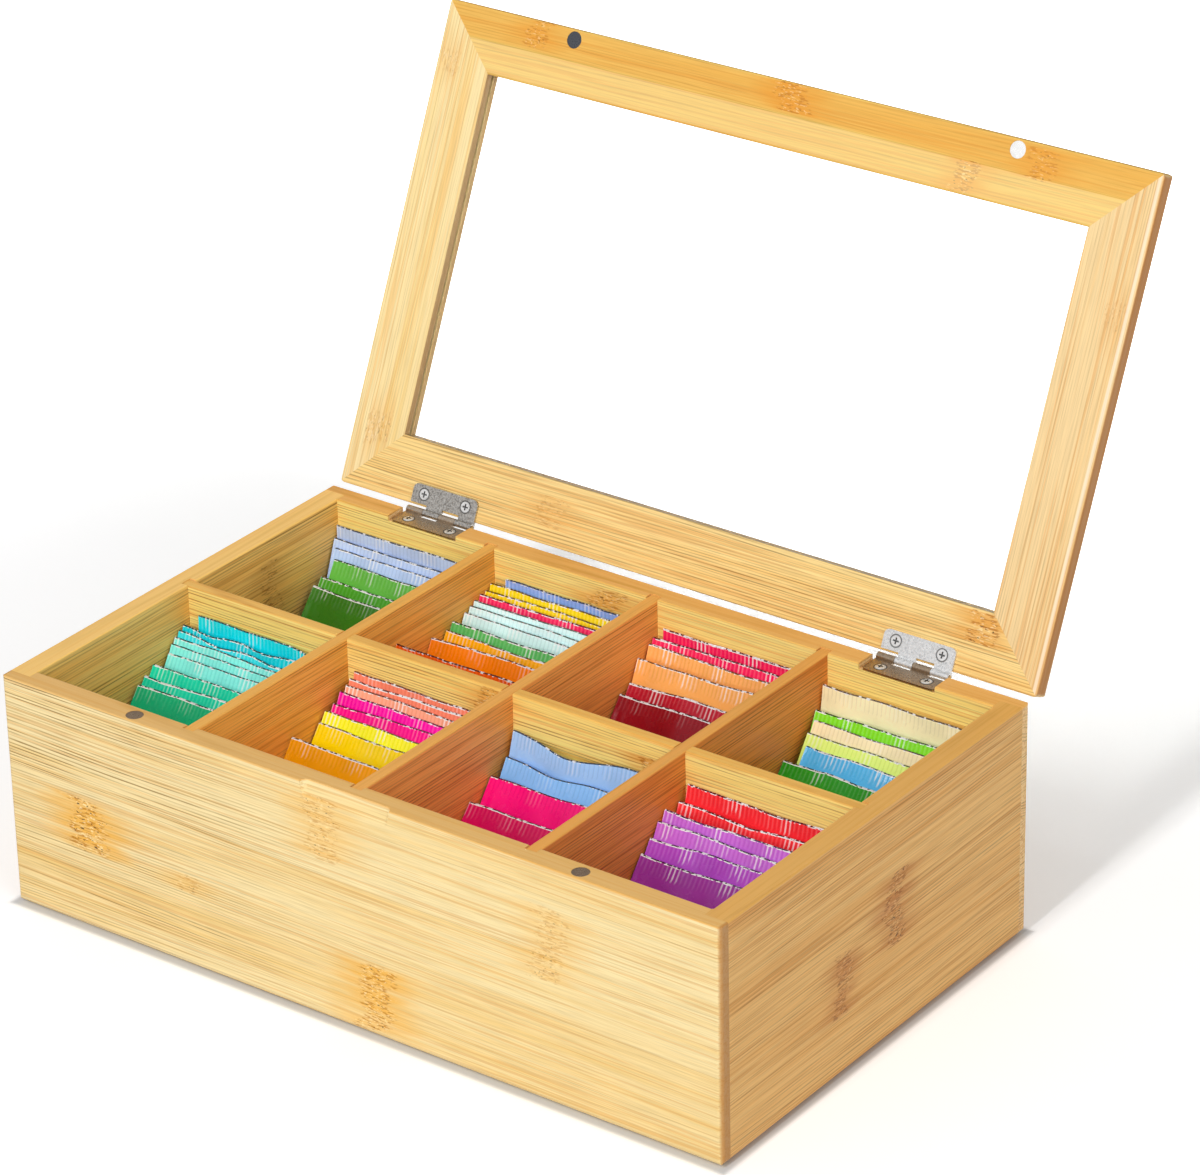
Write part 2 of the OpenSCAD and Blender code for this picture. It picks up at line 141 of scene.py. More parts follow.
def newGroup(name, inputs, outputs):
    tree = bpy.data.node_groups.new(name, "ShaderNodeTree")
    kinds = {"F": "NodeSocketFloat", "C": "NodeSocketColor", "V": "NodeSocketVector"}
    for label, kind, value in inputs:
        made = tree.interface.new_socket(name=label, in_out="INPUT", socket_type=kinds[kind])
        if value is not None:
            made.default_value = value
    for label, kind in outputs:
        tree.interface.new_socket(name=label, in_out="OUTPUT", socket_type=kinds[kind])
    return tree, tree.nodes.new("NodeGroupInput").outputs, tree.nodes.new("NodeGroupOutput").inputs


def useGroup(tree, group, wired):
    return put(tree, "ShaderNodeGroup", wired, node_tree=group).outputs


def newMaterial(name, **sockets):
    material = bpy.data.materials.new(name)
    material.use_nodes = True
    shader = material.node_tree.nodes["Principled BSDF"]
    for key, value in sockets.items():
        shader.inputs[key.replace("_", " ")].default_value = value
    return material, material.node_tree, shader


def feed(tree, source, shader, socket):
    tree.links.new(source, shader.inputs[socket])


relief = {"bamboo": (0.08, 0.0003), "zinc": (0.12, 0.0001), "film": (0.30, 0.0007)}  # strength, metres


def feedSurface(tree, shader, colour, look, strength, distance):
    # a colour, with the roughness and the relief of a group
    feed(tree, colour, shader, "Base Color")
    feed(tree, look["Roughness"], shader, "Roughness")
    wired = {"Height": look["Height"], "Strength": strength, "Distance": distance}
    feed(tree, put(tree, "ShaderNodeBump", wired).outputs["Normal"], shader, "Normal")


def dress(node, material):
    # gives a CAD node one material all over
    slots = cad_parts[node].data.materials
    slots.clear()
    slots.append(material)


# Bamboo boards: counts are repeats per metre along and across the fibres. Levels are those of a noise
# between which a layer comes in, and then what it gives, where that isn't 0 to 1.
grainCounts = {
    "sway": (5, 16), "broad": (4, 110), "middle": (7, 420), "fine": (9, 900),
    "drift": (4, 75), "breaks": (70, 1100), "crowd": (3, 75), "fleck": (60, 2100),
}
grainLevels = {
    "joint": (0.492, 0.499), "broad": (0.36, 0.68), "middle": (0.40, 0.66), "fine": (0.53, 0.61),
    "thread": (0.26, 0.06), "force": (0.32, 0.58), "breaks": (0.34, 0.56, 0.5, 1.0),
    "crowd": (0.36, 0.54, 0.5, 1.0), "fleck": (0.3, 0.75, 1.06, 0.90), "roughness": (0.3, 0.8, 0.42, 0.58),
}
grainAmounts = {
    "sway": 0.0022, "broad": 0.55, "middle": 0.38, "strip": 0.5, "joint": 0.35,
    "hairCount": 830.0, "hairDrift": 5.0, "hairRun": 14.0,
}
markCounts = {
    "ragged": (60, 330), "bend": (3, 70), "dash": (280, 1500), "dot": (560, 1500), "speck": (700, 1300),
    "glow": (25, 420),
}
markLevels = {
    "inside": (0.52, 0.42), "patch": (0.85, 0.0), "core": (0.30, 0.10), "dash": (0.53, 0.60),
    "dashCore": (0.05, 0.5), "dot": (0.59, 0.66), "speck": (0.735, 0.79), "glow": (0.30, 0.62, 0.45, 1.0),
}
markAmounts = {"ragged": 0.9, "bend": 0.016, "glow": 0.9, "dash": 0.8, "dot": 0.6}
speckTone = (0.05, 0.025, 0.01, 1)


def makeGrainGroup():
    # long glued strips of bamboo: u runs with the fibres, v across the strips
    tree, given, result = newGroup("bambooGrain", [
        ("Vector", "V", None), ("Pale", "C", None), ("Amber", "C", None), ("Fibre", "C", None),
        ("Dark", "C", None), ("Strip", "F", 0.021), ("Seed", "F", 0.0), ("Streak", "F", 0.5),
        ("Lines", "F", 0.5), ("Hairs", "F", 0.3),
    ], [("Color", "C"), ("Roughness", "F"), ("Height", "F")])
    seed = given["Seed"]
    place = apart(tree, given["Vector"])
    sway = fibreNoise(tree, given["Vector"], grainCounts["sway"], seed, 2.0)
    sway = times(tree, minus(tree, sway, 0.5), grainAmounts["sway"])
    grain = vectorMaths(tree, "ADD", given["Vector"], together(tree, 0.0, sway, sway))
    # each strip draws a number by chance, which gives it its own tone and fibres; the odd factors keep
    # boards and layers from repeating one another
    count = plus(tree, maths(tree, "DIVIDE", place[1], given["Strip"]), times(tree, seed, 0.37))
    drawn = plus(tree, maths(tree, "FLOOR", count), times(tree, seed, 3.1))
    chance = put(tree, "ShaderNodeTexWhiteNoise", {"W": drawn}, noise_dimensions="1D").outputs["Value"]
    joint = ramp(tree, fromMiddle(tree, count), *grainLevels["joint"])
    own = plus(tree, seed, times(tree, chance, 9.0))
    layer = {
        name: fibreNoise(tree, grain, grainCounts[name], own, detail, rough)
        for name, detail, rough in (
            ("broad", 2.0, 0.5), ("middle", 1.0, 0.5), ("fine", 1.0, 0.6), ("drift", 1.0, 0.5),
            ("breaks", 1.0, 0.5), ("crowd", 1.0, 0.5), ("fleck", 2.0, 0.5))}
    level = {name: ramp(tree, layer[name], *grainLevels[name]) for name in layer if name in grainLevels}
    shade = times(tree, level["broad"], grainAmounts["broad"])
    shade = plus(tree, shade, times(tree, level["middle"], grainAmounts["middle"]))
    shade = plus(tree, shade, times(tree, minus(tree, chance, 0.5), grainAmounts["strip"]))
    colour = blendColour(tree, times(tree, shade, given["Streak"], True), given["Pale"], given["Amber"])
    colour = blendColour(tree, times(tree, level["fine"], given["Lines"]), colour, given["Fibre"])
    # the dark hairs lie side by side, each with its own strength that comes and goes along it
    rank = times(tree, apart(tree, grain)[1], grainAmounts["hairCount"])
    rank = plus(tree, rank, times(tree, layer["drift"], grainAmounts["hairDrift"]))
    along = times(tree, place[0], grainAmounts["hairRun"])
    run = together(tree, along, times(tree, maths(tree, "FLOOR", rank), 0.71), own)
    force = ramp(tree, noise(tree, run, 1.0, 1.0), *grainLevels["force"])
    thread = times(tree, ramp(tree, fromMiddle(tree, rank), *grainLevels["thread"]), force)
    thread = times(tree, times(tree, thread, level["breaks"]), level["crowd"])
    colour = blendColour(tree, times(tree, thread, given["Hairs"]), colour, given["Dark"])
    colour = blendColour(tree, times(tree, joint, grainAmounts["joint"]), colour, given["Dark"])
    colour = blendColour(tree, 1.0, colour, grey(tree, level["fleck"]), "MULTIPLY")
    tree.links.new(colour, result["Color"])
    tree.links.new(ramp(tree, layer["fine"], *grainLevels["roughness"]), result["Roughness"])
    tree.links.new(layer["middle"], result["Height"])
    return tree


def makeMarkGroup():
    # the mark that a cane's joint leaves in a strip: an amber patch with short dashes and pale dots
    tree, given, result = newGroup("bambooMark", [
        ("Color", "C", None), ("Vector", "V", None), ("Centre", "V", None), ("Length", "F", 0.026),
        ("Width", "F", 0.022), ("Strength", "F", 1.0), ("Patch", "C", None), ("Dash", "C", None),
        ("Dot", "C", None), ("Seed", "F", 0.0),
    ], [("Color", "C")])
    seed, strength = given["Seed"], given["Strength"]
    seeds = {"dot": plus(tree, seed, 4.0), "speck": plus(tree, seed, 8.0)}
    layer = {
        name: fibreNoise(tree, given["Vector"], markCounts[name], seeds.get(name, seed), detail)
        for name, detail in (
            ("ragged", 2.0), ("bend", 0.0), ("dash", 1.0), ("dot", 1.0), ("speck", 0.0), ("glow", 2.0))}
    level = {name: ramp(tree, layer[name], *markLevels[name]) for name in layer if name in markLevels}
    off = apart(tree, vectorMaths(tree, "SUBTRACT", given["Vector"], given["Centre"]))
    ragged = times(tree, minus(tree, layer["ragged"], 0.5), markAmounts["ragged"])
    bend = times(tree, minus(tree, layer["bend"], 0.5), markAmounts["bend"])
    u = absolute(tree, maths(tree, "DIVIDE", plus(tree, off[0], bend), given["Length"]))
    v = absolute(tree, maths(tree, "DIVIDE", off[1], given["Width"]))
    inside = ramp(tree, plus(tree, v, times(tree, ragged, 0.12)), *markLevels["inside"])
    patch = times(tree, ramp(tree, plus(tree, u, times(tree, ragged, 0.9)), *markLevels["patch"]), inside)
    core = times(tree, ramp(tree, plus(tree, u, times(tree, ragged, 0.45)), *markLevels["core"]), inside)
    glow = times(tree, times(tree, level["glow"], patch), markAmounts["glow"])
    dash = times(tree, level["dash"], ramp(tree, core, *markLevels["dashCore"]))
    dot = times(tree, times(tree, level["dot"], core), markAmounts["dot"])
    speck = times(tree, level["speck"], core)
    colour = given["Color"]
    for amount, shade in (
            (glow, given["Patch"]), (times(tree, dash, markAmounts["dash"]), given["Dash"]),
            (dot, given["Dot"]), (speck, speckTone)):
        colour = blendColour(tree, times(tree, amount, strength), colour, shade)
    tree.links.new(colour, result["Color"])
    return tree


grainGroup = makeGrainGroup()
markGroup = makeMarkGroup()

lidPose = {"openAngle": 114.5, "axis": (0.0, 0.09825, 0.0937)}  # as the CAD stands at rest

grainWays = {  # rows: with the fibres, across the strips, into the board
    "wallX": ((1, 0, 0), (0, 0, 1), (0, -1, 0)),
    "wallY": ((0, 1, 0), (0, 0, 1), (1, 0, 0)),
    "flatX": ((1, 0, 0), (0, 1, 0), (0, 0, 1)),
    "flatY": ((0, 1, 0), (-1, 0, 0), (0, 0, 1)),
}

toneNames = ("pale", "amber", "fibre", "dark", "rim", "patch", "dash", "dot")
# each board's tones hold painted light as well as the bamboo's colour: left, inner, innerRed and innerDeep
# carry painted shade, the red ones also painted warm light thrown by the sachets, and divider, on the inner
# faces of the back wall and long divider, is painted paler and more golden to make up for the shade inside
# the box
bambooTones = {
    "front": ("ECD6A0", "E4BC6C", "D0923E", "886424", "E2A850", "E8AC40", "B8781A", "FFEBB4"),
    "side": ("EFBF76", "DFA050", "C47E3A", "865426", "DEA650", "BC7438", "905222", "F2C884"),
    "back": ("F4CE92", "EAB26A", "D08E4C", "86602E", "E2A850", "D0903C", "A0662A", "FFE8BC"),
    "left": ("FFD67C", "FFB852", "C4802E", "744A18", "FCCA6C", "B87A30", "88521C", "F4C878"),
    "inner": ("FFC05C", "F4A03A", "CC7828", "7E4618", "E8AC54", "C06E30", "8C4C1C", "F8B868"),
    "innerRed": ("FFB25C", "F09242", "C46A2C", "783C18", "E8AC54", "B8622E", "84421A", "F8AC64"),
    "innerDeep": ("F29E4A", "E07E34", "B85C22", "703414", "E8AC54", "A8542A", "7A3A16", "F0A05C"),
    "divider": ("FFE68C", "FFCE5C", "EC9C3C", "84481A", "E6A648", "E0922C", "AC6216", "FFF0B4"),
    "lidRight": ("EACC96", "E0AE62", "D8903C", "86602A", "E0B05C", "D89238", "AE661A", "FDEDC0"),
    "lidPale": ("F2DCA6", "ECC878", "E6AC58", "8E6C38", "E0B05C", "E2A246", "B27022", "FFF6D8"),
    "lidRear": ("F4D690", "EAB65E", "D68C32", "7C5620", "E0B05C", "DC9430", "A86218", "FAE6B2"),
    "lidFront": ("E2BC62", "D89E3A", "D08020", "80561A", "E0B05C", "DC8C20", "A45C12", "FBE6AC"),
}
toneEdges = {"outside": 0.0002, "rim": 0.0005, "band": 0.0006, "end": 0.0012}  # how soft, in metres
wallStrip, railStrip = 0.0236, 0.0125  # width of the glued strips
wallRim, dividerRim = 0.0943, 0.0940  # above these heights the rim's tone begins
rimAmount, endAmount = 0.72, 0.8  # how strongly the tones of the rims and of a cut end show
boardDefaults = {"streak": 0.75, "lines": 0.5, "hairs": 0.75}

# marks: place along the fibres, place across, length, width, strength; toneAndPaintedLightBands: from and to
# across the board, tone, strength, some the strips' own tone, some painted shade and one a painted highlight
# at an edge;
# fade: where the hairs thin out and how far; end: where the cut end begins, and its tone
bambooBoards = {
    "front_wall": {
        "way": "wallX", "tone": "front", "seed": 1.3, "strip": wallStrip, "rim": wallRim, "streak": 0.7,
        "lines": 0.35, "hairs": 0.95, "fade": (-0.12, 0.02, 0.12), "end": (0.1586, "B87C3E"),
        "marks": [(-.1237, .044, .034, .022, 1.0), (-.0121, .078, .030, .026, .55),
                  (.0867, .064, .030, .030, .45), (.0101, .0165, .032, .030, .9),
                  (-.0742, .035, .022, .008, .5)],
    },
    "back_wall": {
        "way": "wallX", "tone": "divider", "outside": ("back", -0.0874), "seed": 5.1, "strip": wallStrip,
        "rim": wallRim, "streak": 0.65, "lines": 0.4, "hairs": 0.7,
        "marks": [(-.020, .083, .030, .020, .7), (.105, .03, .032, .024, .8), (-.11, .055, .03, .022, .7)],
    },
    "left_wall": {
        "way": "wallY", "tone": "left", "outside": ("back", -0.1511), "seed": 8.4, "strip": wallStrip,
        "rim": wallRim, "streak": 0.5, "lines": 0.4,
        "marks": [(.046, .071, .020, .030, .6), (-.03, .02, .024, .022, .5)],
    },
    "right_wall": {
        "way": "wallY", "tone": "side", "seed": 2.2, "strip": wallStrip, "rim": wallRim, "lines": 0.4,
        "hairs": 0.45,
        "marks": [(.0081, .052, .024, .030, .8), (-.0231, .037, .020, .026, .7)],
    },
    "bottom_panel": {
        "way": "flatX", "tone": "side", "seed": 3.7, "strip": wallStrip,
        "marks": [(.06, .03, .03, .022, .8), (-.08, -.05, .03, .022, .7)],
    },
    "long_divider": {
        "way": "wallX", "tone": "divider", "seed": 4.6, "strip": wallStrip, "rim": dividerRim,
        "streak": 0.65, "lines": 0.4, "hairs": 0.7,
        "marks": [(.0633, .078, .026, .018, .8), (-.0076, .088, .022, .012, .7)],
    },
    "cross_divider_left": {
        "way": "wallY", "tone": "inner", "seed": 6.8, "strip": wallStrip, "rim": dividerRim,
        "streak": 0.55, "lines": 0.4, "hairs": 0.6,
        "marks": [(-.035, .05, .024, .022, .6)],
    },
    "cross_divider_middle": {
        "way": "wallY", "tone": "innerRed", "seed": 7.9, "strip": wallStrip, "rim": dividerRim,
        "streak": 0.55, "lines": 0.4, "hairs": 0.6,
        "marks": [(.03, .06, .024, .022, .6)],
    },
    "cross_divider_right": {
        "way": "wallY", "tone": "innerDeep", "seed": 9.3, "strip": wallStrip, "rim": dividerRim,
        "streak": 0.55, "lines": 0.4, "hairs": 0.6,
        "marks": [(-.05, .03, .024, .022, .6)],
    },
    "lid_front_rail": {
        "way": "flatX", "tone": "lidFront", "seed": 1.9, "strip": railStrip, "lid": True, "streak": 0.6,
        "lines": 0.35, "hairs": 0.35,
        # painted shade on the rail's outer edge and on its edge at the window, between the strips' own
        # deeper and paler tones
        "toneAndPaintedLightBands": [(-.0975, -.0958, "7A4A20", .85), (-.0958, -.0838, "E6A040", .40),
                  (-.0838, -.0717, "FFE2A0", .35), (-.0717, -.0700, "A87038", .8)],
        "marks": [(-.1132, -.0905, .022, .011, .8), (.0002, -.0905, .030, .011, 1.0),
                  (.0807, -.078, .020, .0125, .9), (.1099, -.0885, .026, .012, .7)],
    },
    "lid_rear_rail": {
        "way": "flatX", "tone": "lidRear", "seed": 2.8, "strip": railStrip, "lid": True, "streak": 0.6,
        "lines": 0.35, "hairs": 0.6,
        # painted shade on the rail's edge at the window
        "toneAndPaintedLightBands": [(.0700, .0717, "5E4226", .9)],
        "marks": [(.1322, .078, .026, .012, .8), (-.06, .084, .026, .012, .35)],
    },
    "lid_left_rail": {
        "way": "flatY", "tone": "lidPale", "seed": 3.4, "strip": railStrip, "lid": True, "streak": 0.6,
        "lines": 0.35, "hairs": 0.25,
        # painted shade on the rail's edge at the window
        "toneAndPaintedLightBands": [(.1340, .1354, "A8764A", .8)],
        "marks": [(-.0721, .154, .02, .010, .35), (.072, .148, .026, .012, .4)],
    },
    "lid_right_rail": {
        "way": "flatY", "tone": "lidRight", "seed": 6.1, "strip": railStrip, "lid": True, "streak": 0.6,
        "lines": 0.35, "hairs": 0.3,
        # painted shade on the rail's outer side and on its edge at the window, and a painted highlight on
        # its rounded outer edge
        "toneAndPaintedLightBands": [(-.1610, -.1595, "B06C28", .85), (-.1594, -.1575, "FFF6E2", .5),
                  (-.1354, -.1340, "C88A44", .6)],
        "marks": [(-.04, -.154, .022, .010, .25)],
    },
}


def boardTones(name):
    return dict(zip(toneNames, (tint(code) for code in bambooTones[name])))


def bambooMaterial(name, board):
    board = {**boardDefaults, **board}
    tone = boardTones(board["tone"])
    material, tree, shader = newMaterial(name, Specular_IOR_Level=0.22)
    way = Matrix(grainWays[board["way"]])
    offset = Vector((0, 0, 0))
    if board.get("lid"):  # the lid stands open, so its grain is laid out as if it were shut
        shut = Matrix.Rotation(math.radians(lidPose["openAngle"]), 3, "X")
        axis = Vector(lidPose["axis"])
        offset = way @ (axis - shut @ axis)
        way = way @ shut
    wired = {"Vector": objectPlace(tree), "Location": offset, "Rotation": way.to_euler("XYZ")}
    vector = put(tree, "ShaderNodeMapping", wired).outputs["Vector"]
    along, across, depth = apart(tree, vector)[:3]
    # the outer face keeps plain tones, without the painted light of the inner faces
    if "outside" in board:  # the wall's outer face has tones of its own
        outer, start = board["outside"]
        other, soft = boardTones(outer), toneEdges["outside"]
        mask = ramp(tree, depth, start - soft, start + soft, 1.0, 0.0)
        for key in toneNames:
            if key != "rim":
                tone[key] = blendColour(tree, mask, tone[key], other[key])
    hairs = board["hairs"]
    if "fade" in board:  # the hairs thin out along the board
        start, end, last = board["fade"]
        hairs = ramp(tree, along, start, end, hairs, last)
    grain = useGroup(tree, grainGroup, {
        "Vector": vector, "Pale": tone["pale"], "Amber": tone["amber"], "Fibre": tone["fibre"],
        "Dark": tone["dark"], "Strip": board["strip"], "Seed": board["seed"],
        "Streak": board["streak"], "Lines": board["lines"], "Hairs": hairs})
    colour = grain["Color"]
    for number, (u, v, length, width, strength) in enumerate(board["marks"]):
        colour = useGroup(tree, markGroup, {
            "Color": colour, "Vector": vector, "Centre": (u, v, 0), "Length": length, "Width": width,
            "Strength": strength, "Patch": tone["patch"], "Dash": tone["dash"], "Dot": tone["dot"],
            "Seed": board["seed"] + 5 * number})["Color"]
    if "rim" in board:  # the boards' upper edges are a shade deeper than their faces
        mask = ramp(tree, across, board["rim"], board["rim"] + toneEdges["rim"])
        colour = blendColour(tree, times(tree, mask, rimAmount), colour, tone["rim"])
    # the strips' own deeper or paler tone, and painted shade and a painted highlight at the rails' edges
    for start, end, shade, amount in board.get("toneAndPaintedLightBands", []):  # deeper or paler strips across the board
        soft = toneEdges["band"]
        rise = ramp(tree, across, start, start + soft)
        fall = ramp(tree, across, end - soft, end, 1.0, 0.0)
        mask = times(tree, rise, fall)
        colour = blendColour(tree, times(tree, mask, amount), colour, tint(shade))
    if "end" in board:  # the cut end of the wall, seen at the corner, is deeper and plainer
        start, shade = board["end"]
        mask = ramp(tree, absolute(tree, along), start, start + toneEdges["end"])
        colour = blendColour(tree, times(tree, mask, endAmount), colour, tint(shade))
    feedSurface(tree, shader, colour, grain, *relief["bamboo"])
    return material


for boardName, board in bambooBoards.items():
    dress(boardName, bambooMaterial("bamboo_" + boardName, board))
print("bamboo boards:", len(bambooBoards))


# Hinges, screws, pins, magnets and the pane.
zincScale = 2400.0  # cells of the mottle per metre

# the screws: from the box's middle to a hinge's, from there to a screw, then the radii between which the
# painted shade round its head comes and goes, half the width of the painted shade in its cross and that
# cross's reach
screwLook = {
    "hinge": 0.109, "side": 0.010, "rimIn": (0.00190, 0.00225), "rimOut": (0.00245, 0.00275),
    "crossWidth": (0.00022, 0.00042), "crossReach": (0.00115, 0.00140),
    "rimShade": 0.75, "crossShade": 0.85, "shade": "1E1C1A",
}
openAngle = math.radians(lidPose["openAngle"])
leafPlanes = {  # direction up a leaf, and how far along it its screws lie
    "box": ((0, 1, 0), 0.09145),
    "lid": ((0, -math.cos(openAngle), math.sin(openAngle)), 0.13286),
}


def makeZincGroup():
    # mottled zinc on sheet steel
    tree, given, result = newGroup("zincMottle", [
        ("Light", "C", None), ("Deep", "C", None), ("Scale", "F", 900.0), ("Seed", "F", 0.0),
    ], [("Color", "C"), ("Roughness", "F"), ("Height", "F")])
    place = stretched(tree, objectPlace(tree), 1, 1, given["Seed"])
    spangle = put(tree, "ShaderNodeTexVoronoi", {"Vector": place, "Scale": given["Scale"]}).outputs["Color"]
    spangle = put(tree, "ShaderNodeSeparateColor", {0: spangle}).outputs[0]
    cloud = noise(tree, place, 1500.0, 3.0, 0.6)
    amount = plus(tree, times(tree, spangle, 0.45), ramp(tree, cloud, 0.35, 0.7, 0.0, 0.7), True)
    tree.links.new(blendColour(tree, amount, given["Light"], given["Deep"]), result["Color"])
    tree.links.new(plus(tree, times(tree, amount, 0.2), 0.2), result["Roughness"])
    tree.links.new(spangle, result["Height"])
    return tree


def makeScrewGroup():
    # painted shade: where the dark ring round a screw's head and the dark cross in its recess lie; the four
    # screws of a sort fold onto one another about the middle of the box and of the hinge
    tree, given, result = newGroup(
        "screwLines", [("Up", "V", None), ("Offset", "F", 0.0)], [("Rim", "F"), ("Cross", "F")])
    look, place = screwLook, objectPlace(tree)
    fromHinge = absolute(tree, minus(tree, absolute(tree, apart(tree, place)[0]), look["hinge"]))
    sideways = minus(tree, fromHinge, look["side"])
    upwards = minus(tree, vectorMaths(tree, "DOT_PRODUCT", place, given["Up"], "Value"), given["Offset"])
    far = maths(tree, "SQRT", plus(tree, times(tree, sideways, sideways), times(tree, upwards, upwards)))
    nearest = maths(tree, "MINIMUM", absolute(tree, sideways), absolute(tree, upwards))
    rim = times(tree, ramp(tree, far, *look["rimIn"]), ramp(tree, far, *look["rimOut"], 1.0, 0.0))
    bars = ramp(tree, nearest, *look["crossWidth"], 1.0, 0.0)
    reach = ramp(tree, far, *look["crossReach"], 1.0, 0.0)
    tree.links.new(rim, result["Rim"])
    tree.links.new(times(tree, bars, reach), result["Cross"])
    return tree


zincGroup = makeZincGroup()
screwGroup = makeScrewGroup()

# the leaves' tones hold painted light: the box leaves are tinted brown as a painted reflection of the wood,
# and the left and right leaves, alike in truth, get different tones as lit and shaded copies; the right lid
# leaf, painted brightest, also has less metal
hingeLook = {
    "hinge_left_box_leaf": {"light": "D2C2AE", "deep": "A09080", "seed": 1.0},
    "hinge_left_lid_leaf": {"light": "E0DCD6", "deep": "827E7A", "seed": 2.0},
    "hinge_right_box_leaf": {"light": "C4AE94", "deep": "8A7A6A", "seed": 3.0},
    "hinge_right_lid_leaf": {"light": "FFFFFF", "deep": "B8BABC", "metal": 0.65, "seed": 4.0},
    "box_hinge_screws": {"light": "FFFCF8", "deep": "C4BCAE", "metal": 0.7, "seed": 5.0},
    "lid_hinge_screws": {"light": "FFFFFF", "deep": "C8C8C8", "metal": 0.6, "seed": 6.0},
    "hinge_left_pin": {"light": "E8C98C", "deep": "9C7434", "seed": 7.0},
    "hinge_right_pin": {"light": "E8C98C", "deep": "9C7434", "seed": 8.0},
}

for metalName, look in hingeLook.items():
    material, tree, shader = newMaterial("steel_" + metalName, Metallic=look.get("metal", 1.0))
    zinc = useGroup(tree, zincGroup, {
        "Light": tint(look["light"]), "Deep": tint(look["deep"]), "Scale": zincScale, "Seed": look["seed"]})
    colour = zinc["Color"]
    # painted shade: a dark ring round each screw head, on the leaves and the screws, and a dark cross in
    # each screw's recess
    if "pin" not in metalName:
        up, offset = leafPlanes["box" if "box" in metalName else "lid"]
        lines = useGroup(tree, screwGroup, {"Up": up, "Offset": offset})
        toneShift = times(tree, lines["Rim"], screwLook["rimShade"])
        if "screws" in metalName:
            toneShift = plus(tree, toneShift, times(tree, lines["Cross"], screwLook["crossShade"]), True)
        colour = blendColour(tree, toneShift, colour, tint(screwLook["shade"]))
    feedSurface(tree, shader, colour, zinc, *relief["zinc"])
    dress(metalName, material)


def magnetMaterial(name, leftTint, rightTint):
    # plated discs, alike in truth: the two of a pair get unequal tints, painted light on one and painted
    # shade on the other
    material, tree, shader = newMaterial(name, Metallic=0.3)
    side = ramp(tree, apart(tree, objectPlace(tree))[0], -0.001, 0.001)  # 0 left of the middle, 1 right
    plating = {"Light": (1, 1, 1, 1), "Deep": (0.75, 0.75, 0.75, 1), "Scale": 500.0, "Seed": 3.0}
    zinc = useGroup(tree, zincGroup, plating)
    colour = blendColour(tree, side, tint(leftTint), tint(rightTint))
    feed(tree, blendColour(tree, 1.0, colour, zinc["Color"], "MULTIPLY"), shader, "Base Color")
    feed(tree, zinc["Roughness"], shader, "Roughness")
    return material


# painted light: of each pair one disc is tinted brighter than the other, most of all on the lid
dress("box_magnets", magnetMaterial("magnet_box", "80684E", "7A6450"))
dress("lid_magnets", magnetMaterial("magnet_lid", "4A4E55", "FFFFFF"))


def paneMaterial():
    # clear sheet: it lets the lamps' light through to the table behind it
    material, tree, shader = newMaterial(
        "clear_pane", Transmission_Weight=1.0, IOR=1.45, Base_Color=(0.985, 0.995, 0.99, 1))
    smear = ramp(tree, noise(tree, objectPlace(tree), 35.0, 3.0), 0.4, 0.8, 0.0, 0.03)
    feed(tree, smear, shader, "Roughness")
    clear = put(tree, "ShaderNodeBsdfTransparent", {"Color": (0.93, 0.95, 0.94, 1)}).outputs[0]
    shadow = put(tree, "ShaderNodeLightPath").outputs["Is Shadow Ray"]
    mix = put(tree, "ShaderNodeMixShader", {0: shadow, 1: shader.outputs[0], 2: clear})
    tree.links.new(mix.outputs[0], tree.nodes["Material Output"].inputs["Surface"])
    return material


dress("lid_window", paneMaterial())
print("metal and pane dressed")


# Sachets: places inside the box, the shape of one sachet, then every sachet there is.
compartments = {  # metres, from the box's middle and its foot; play is what a sachet can slide sideways
    "firstLeft": -0.1505, "pitch": 0.0765, "depth": 0.08425, "rearBack": 0.08675, "frontBack": -0.0025,
    "floor": 0.005, "play": 0.0075,
}

sachetShape = {  # metres; crimps, belly and seam are heights or widths between which they begin and end
    "width": 0.064, "height": 0.080, "ribs": 36, "ribDepth": 0.00012, "seat": 0.0003, "film": 0.00016,
    "halfFoot": 0.0003, "halfBelly": 0.00085, "seam": (0.0022, 0.00605), "crimpTop": 0.0732,
    "crimpPlay": 0.0014, "crimpFoot": (0.0085, 0.0105), "bellyFoot": (0.009, 0.030),
    "bellyTop": (0.046, 0.0705), "crinkle": 0.00010, "puff": 0.00028, "tornFrom": 0.0735,
    "swayFrom": 0.030, "tiltFrom": 0.04, "tilt": 0.0008, "sagFrom": 0.045, "leafStep": 0.00045,
}
sachetHeights = [  # rows of the blank, close together at both crimps
    0, .0007, .003, .006, .009, .012, .016, .021, .027, .034, .041, .048, .054, .059, .0635, .067, .0695,
    .0708, .0714, .073, .075, .077, .0784, .0792, .080]
sheetGap = 0.01  # between the two leaves of the blank
smoothAngle = 28  # degrees: sharper folds stay sharp
millimetre = 0.001

